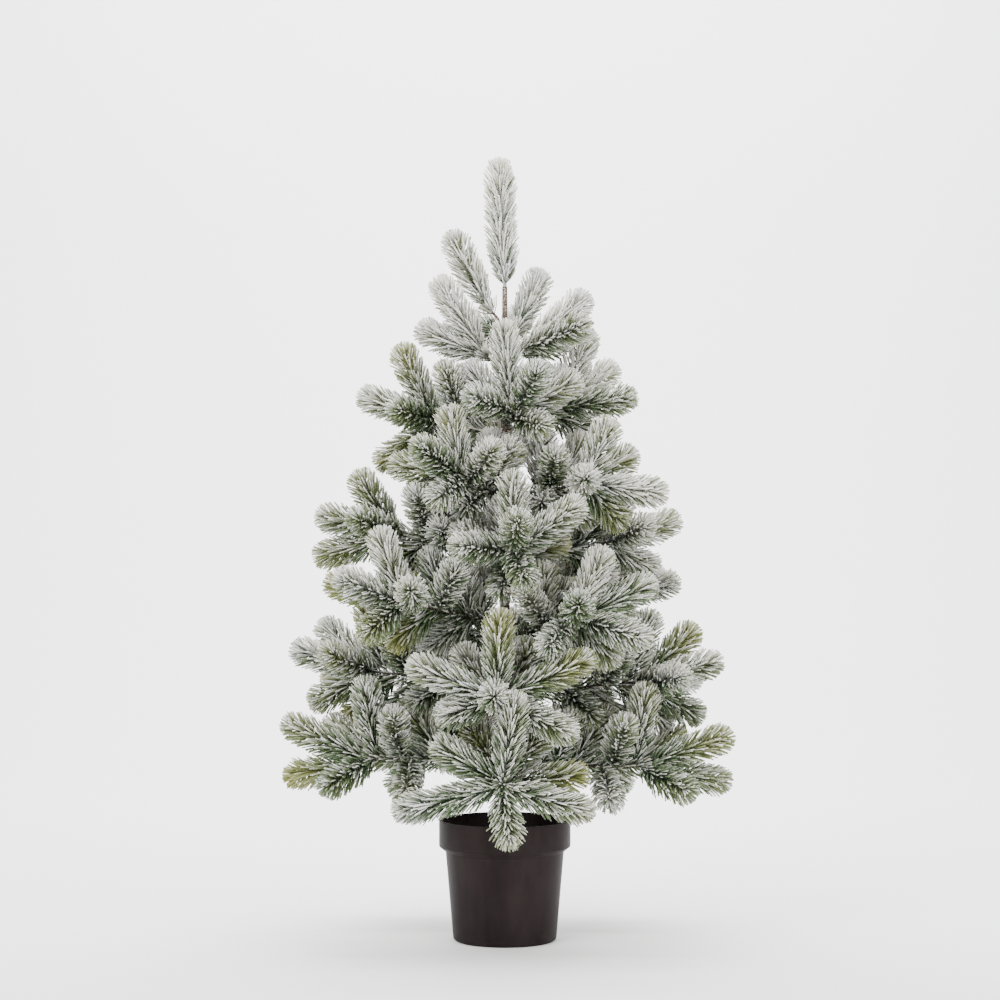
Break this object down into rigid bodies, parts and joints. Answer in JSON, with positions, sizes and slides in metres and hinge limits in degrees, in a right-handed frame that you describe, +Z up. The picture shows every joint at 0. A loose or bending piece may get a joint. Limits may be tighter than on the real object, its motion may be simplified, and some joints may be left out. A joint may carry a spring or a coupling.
{
  "type": "artificial tabletop tree",
  "caption": "Frosted artificial tabletop tree: moulded needle sprays on bendable wires round a taped trunk, in a round plastic pot.",
  "frame": {"origin": "centre of the pot's flat underside, on the trunk's axis", "axes": "+Z up the trunk to the leader tip, -Y towards the front of the tree, +X to its right"},
  "size_m": [0.5114, 0.4627, 0.9],
  "materials": {
    "pot_plastic": "satin",
    "cement": "matte",
    "rod_steel": "satin",
    "paper_tape": "matte",
    "frosted_needles": "matte"
  },
  "bodies": {
    "pot_and_trunk": {"pot": "pot_plastic", "cement_weight": "cement", "trunk_rod": "rod_steel", "trunk_tape": "paper_tape", "leader_tip": "frosted_needles"},
    "tier1_front_branch": {"tier1_front_branch_wire": "paper_tape", "tier1_front_branch_tips": "frosted_needles"},
    "tier1_right_branch": {"tier1_right_branch_wire": "paper_tape", "tier1_right_branch_tips": "frosted_needles"},
    "tier1_back_right_branch": {"tier1_back_right_branch_wire": "paper_tape", "tier1_back_right_branch_tips": "frosted_needles"},
    "tier1_back_left_branch": {"tier1_back_left_branch_wire": "paper_tape", "tier1_back_left_branch_tips": "frosted_needles"},
    "tier1_left_branch": {"tier1_left_branch_wire": "paper_tape", "tier1_left_branch_tips": "frosted_needles"},
    "tier2_front_branch": {"tier2_front_branch_wire": "paper_tape", "tier2_front_branch_tips": "frosted_needles"},
    "tier2_right_branch": {"tier2_right_branch_wire": "paper_tape", "tier2_right_branch_tips": "frosted_needles"},
    "tier2_back_branch": {"tier2_back_branch_wire": "paper_tape", "tier2_back_branch_tips": "frosted_needles"},
    "tier2_left_branch": {"tier2_left_branch_wire": "paper_tape", "tier2_left_branch_tips": "frosted_needles"},
    "tier3_front_right_branch": {"tier3_front_right_branch_wire": "paper_tape", "tier3_front_right_branch_tips": "frosted_needles"},
    "tier3_back_right_branch": {"tier3_back_right_branch_wire": "paper_tape", "tier3_back_right_branch_tips": "frosted_needles"},
    "tier3_back_left_branch": {"tier3_back_left_branch_wire": "paper_tape", "tier3_back_left_branch_tips": "frosted_needles"},
    "tier3_front_left_branch": {"tier3_front_left_branch_wire": "paper_tape", "tier3_front_left_branch_tips": "frosted_needles"},
    "tier4_front_branch": {"tier4_front_branch_wire": "paper_tape", "tier4_front_branch_tips": "frosted_needles"},
    "tier4_right_branch": {"tier4_right_branch_wire": "paper_tape", "tier4_right_branch_tips": "frosted_needles"},
    "tier4_back_branch": {"tier4_back_branch_wire": "paper_tape", "tier4_back_branch_tips": "frosted_needles"},
    "tier4_left_branch": {"tier4_left_branch_wire": "paper_tape", "tier4_left_branch_tips": "frosted_needles"},
    "tier5_front_left_branch": {"tier5_front_left_branch_wire": "paper_tape", "tier5_front_left_branch_tips": "frosted_needles"},
    "tier5_right_branch": {"tier5_right_branch_wire": "paper_tape", "tier5_right_branch_tips": "frosted_needles"},
    "tier5_back_branch": {"tier5_back_branch_wire": "paper_tape", "tier5_back_branch_tips": "frosted_needles"},
    "tier6_front_branch": {"tier6_front_branch_wire": "paper_tape", "tier6_front_branch_tips": "frosted_needles"},
    "tier6_back_right_branch": {"tier6_back_right_branch_wire": "paper_tape", "tier6_back_right_branch_tips": "frosted_needles"},
    "tier6_left_branch": {"tier6_left_branch_wire": "paper_tape", "tier6_left_branch_tips": "frosted_needles"},
    "crown_right_branch": {"crown_right_branch_wire": "paper_tape", "crown_right_branch_tips": "frosted_needles"},
    "crown_left_branch": {"crown_left_branch_wire": "paper_tape", "crown_left_branch_tips": "frosted_needles"},
    "crown_back_branch": {"crown_back_branch_wire": "paper_tape", "crown_back_branch_tips": "frosted_needles"},
    "crown_upper_left_branch": {"crown_upper_left_branch_wire": "paper_tape", "crown_upper_left_branch_tips": "frosted_needles"}
  },
  "joints": [
    {"name": "tier1_front_bend", "type": "hinge", "parent": "pot_and_trunk", "child": "tier1_front_branch", "pos_m": [-0.00015, -0.00872, 0.198], "axis": [-0.9998, 0.0175, 0], "range_deg": [-20, 45], "deforming": ["tier1_front_branch_tips"]},
    {"name": "tier1_right_bend", "type": "hinge", "parent": "pot_and_trunk", "child": "tier1_right_branch", "pos_m": [0.00818, -0.00298, 0.2], "axis": [-0.342, -0.9397, 0], "range_deg": [-20, 45], "deforming": ["tier1_right_branch_tips"]},
    {"name": "tier1_back_right_bend", "type": "hinge", "parent": "pot_and_trunk", "child": "tier1_back_right_branch", "pos_m": [0.00538, 0.00689, 0.196], "axis": [0.788, -0.6157, 0], "range_deg": [-20, 45], "deforming": ["tier1_back_right_branch_tips"]},
    {"name": "tier1_back_left_bend", "type": "hinge", "parent": "pot_and_trunk", "child": "tier1_back_left_branch", "pos_m": [-0.00487, 0.00721, 0.201], "axis": [0.829, 0.5592, 0], "range_deg": [-20, 45], "deforming": ["tier1_back_left_branch_tips"]},
    {"name": "tier1_left_bend", "type": "hinge", "parent": "pot_and_trunk", "child": "tier1_left_branch", "pos_m": [-0.00813, -0.00296, 0.208], "axis": [-0.342, 0.9397, 0], "range_deg": [-20, 45], "deforming": ["tier1_left_branch_tips"]},
    {"name": "tier2_front_bend", "type": "hinge", "parent": "pot_and_trunk", "child": "tier2_front_branch", "pos_m": [-0.00057, -0.00814, 0.274], "axis": [-0.9976, 0.0698, 0], "range_deg": [-20, 45], "deforming": ["tier2_front_branch_tips"]},
    {"name": "tier2_right_bend", "type": "hinge", "parent": "pot_and_trunk", "child": "tier2_right_branch", "pos_m": [0.00805, -0.00085, 0.282], "axis": [-0.1045, -0.9945, 0], "range_deg": [-20, 45], "deforming": ["tier2_right_branch_tips"]},
    {"name": "tier2_back_bend", "type": "hinge", "parent": "pot_and_trunk", "child": "tier2_back_branch", "pos_m": [0.00057, 0.00817, 0.269], "axis": [0.9976, -0.0698, 0], "range_deg": [-20, 45], "deforming": ["tier2_back_branch_tips"]},
    {"name": "tier2_left_bend", "type": "hinge", "parent": "pot_and_trunk", "child": "tier2_left_branch", "pos_m": [-0.008, 0.00056, 0.292], "axis": [0.0698, 0.9976, 0], "range_deg": [-20, 45], "deforming": ["tier2_left_branch_tips"]},
    {"name": "tier3_front_right_bend", "type": "hinge", "parent": "pot_and_trunk", "child": "tier3_front_right_branch", "pos_m": [0.00488, -0.00581, 0.35], "axis": [-0.766, -0.6428, 0], "range_deg": [-20, 45], "deforming": ["tier3_front_right_branch_tips"]},
    {"name": "tier3_back_right_bend", "type": "hinge", "parent": "pot_and_trunk", "child": "tier3_back_right_branch", "pos_m": [0.00592, 0.00463, 0.36], "axis": [0.6157, -0.788, 0], "range_deg": [-20, 45], "deforming": ["tier3_back_right_branch_tips"]},
    {"name": "tier3_back_left_bend", "type": "hinge", "parent": "pot_and_trunk", "child": "tier3_back_left_branch", "pos_m": [-0.00491, 0.00585, 0.344], "axis": [0.766, 0.6428, 0], "range_deg": [-20, 45], "deforming": ["tier3_back_left_branch_tips"]},
    {"name": "tier3_front_left_bend", "type": "hinge", "parent": "pot_and_trunk", "child": "tier3_front_left_branch", "pos_m": [-0.0059, -0.00461, 0.364], "axis": [-0.6157, 0.788, 0], "range_deg": [-20, 45], "deforming": ["tier3_front_left_branch_tips"]},
    {"name": "tier4_front_bend", "type": "hinge", "parent": "pot_and_trunk", "child": "tier4_front_branch", "pos_m": [0.00073, -0.00695, 0.43], "axis": [-0.9945, -0.1045, 0], "range_deg": [-20, 45], "deforming": ["tier4_front_branch_tips"]},
    {"name": "tier4_right_bend", "type": "hinge", "parent": "pot_and_trunk", "child": "tier4_right_branch", "pos_m": [0.00688, 0.00072, 0.44], "axis": [0.1045, -0.9945, 0], "range_deg": [-20, 45], "deforming": ["tier4_right_branch_tips"]},
    {"name": "tier4_back_bend", "type": "hinge", "parent": "pot_and_trunk", "child": "tier4_back_branch", "pos_m": [-0.00086, 0.00698, 0.424], "axis": [0.9925, 0.1219, 0], "range_deg": [-20, 45], "deforming": ["tier4_back_branch_tips"]},
    {"name": "tier4_left_bend", "type": "hinge", "parent": "pot_and_trunk", "child": "tier4_left_branch", "pos_m": [-0.00679, -0.00083, 0.45], "axis": [-0.1219, 0.9925, 0], "range_deg": [-20, 45], "deforming": ["tier4_left_branch_tips"]},
    {"name": "tier5_front_left_bend", "type": "hinge", "parent": "pot_and_trunk", "child": "tier5_front_left_branch", "pos_m": [-0.00377, -0.00518, 0.508], "axis": [-0.809, 0.5878, 0], "range_deg": [-20, 45], "deforming": ["tier5_front_left_branch_tips"]},
    {"name": "tier5_right_bend", "type": "hinge", "parent": "pot_and_trunk", "child": "tier5_right_branch", "pos_m": [0.00584, -0.0026, 0.51], "axis": [-0.4067, -0.9135, 0], "range_deg": [-20, 45], "deforming": ["tier5_right_branch_tips"]},
    {"name": "tier5_back_bend", "type": "hinge", "parent": "pot_and_trunk", "child": "tier5_back_branch", "pos_m": [-0.00153, 0.00613, 0.52], "axis": [0.9703, 0.2419, 0], "range_deg": [-20, 45], "deforming": ["tier5_back_branch_tips"]},
    {"name": "tier6_front_bend", "type": "hinge", "parent": "pot_and_trunk", "child": "tier6_front_branch", "pos_m": [0.00161, -0.00561, 0.584], "axis": [-0.9613, -0.2756, 0], "range_deg": [-20, 45], "deforming": ["tier6_front_branch_tips"]},
    {"name": "tier6_back_right_bend", "type": "hinge", "parent": "pot_and_trunk", "child": "tier6_back_right_branch", "pos_m": [0.00524, 0.00255, 0.586], "axis": [0.4384, -0.8988, 0], "range_deg": [-20, 45], "deforming": ["tier6_back_right_branch_tips"]},
    {"name": "tier6_left_bend", "type": "hinge", "parent": "pot_and_trunk", "child": "tier6_left_branch", "pos_m": [-0.00583, 0.00082, 0.578], "axis": [0.1392, 0.9903, 0], "range_deg": [-20, 45], "deforming": ["tier6_left_branch_tips"]},
    {"name": "crown_right_bend", "type": "hinge", "parent": "pot_and_trunk", "child": "crown_right_branch", "pos_m": [0.00507, -0.00127, 0.666], "axis": [-0.2419, -0.9703, 0], "range_deg": [-20, 35], "deforming": ["crown_right_branch_tips"]},
    {"name": "crown_left_bend", "type": "hinge", "parent": "pot_and_trunk", "child": "crown_left_branch", "pos_m": [-0.00513, -0.00128, 0.658], "axis": [-0.2419, 0.9703, 0], "range_deg": [-20, 35], "deforming": ["crown_left_branch_tips"]},
    {"name": "crown_back_bend", "type": "hinge", "parent": "pot_and_trunk", "child": "crown_back_branch", "pos_m": [0.00284, 0.00421, 0.686], "axis": [0.829, -0.5592, 0], "range_deg": [-20, 25], "deforming": ["crown_back_branch_tips"]},
    {"name": "crown_upper_left_bend", "type": "hinge", "parent": "pot_and_trunk", "child": "crown_upper_left_branch", "pos_m": [-0.0049, 0.00017, 0.71], "axis": [0.0349, 0.9994, 0], "range_deg": [-20, 25], "deforming": ["crown_upper_left_branch_tips"]}
  ]
}
